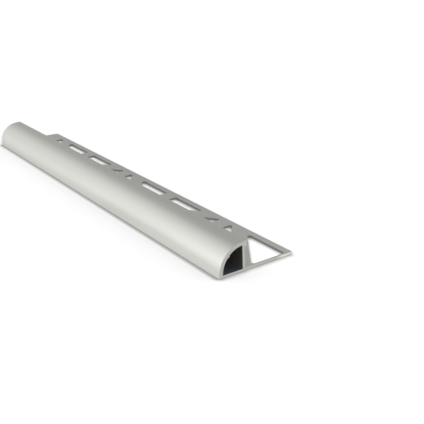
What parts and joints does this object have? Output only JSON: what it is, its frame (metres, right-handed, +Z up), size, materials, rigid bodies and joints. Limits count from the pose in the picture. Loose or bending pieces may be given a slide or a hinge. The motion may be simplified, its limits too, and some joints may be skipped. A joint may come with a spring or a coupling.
{
  "type": "tile edge trim",
  "caption": "Hollow quarter-round tile edge trim of satin aluminium: a curved bead, an upright wall that the tile butts against, and a thin perforated leg bedded in adhesive under the tile.",
  "frame": {"origin": "middle of the underside, at the bottom centre of the bounding box", "axes": "+Y along the length, +X from the curved bead towards the tip of the leg, +Z up from the underside"},
  "size_m": [0.03, 0.18, 0.0102],
  "materials": {
    "anodised_aluminium": "matt silver anodised"
  },
  "bodies": {
    "root": {"trim_profile": "anodised_aluminium"}
  },
  "joints": []
}
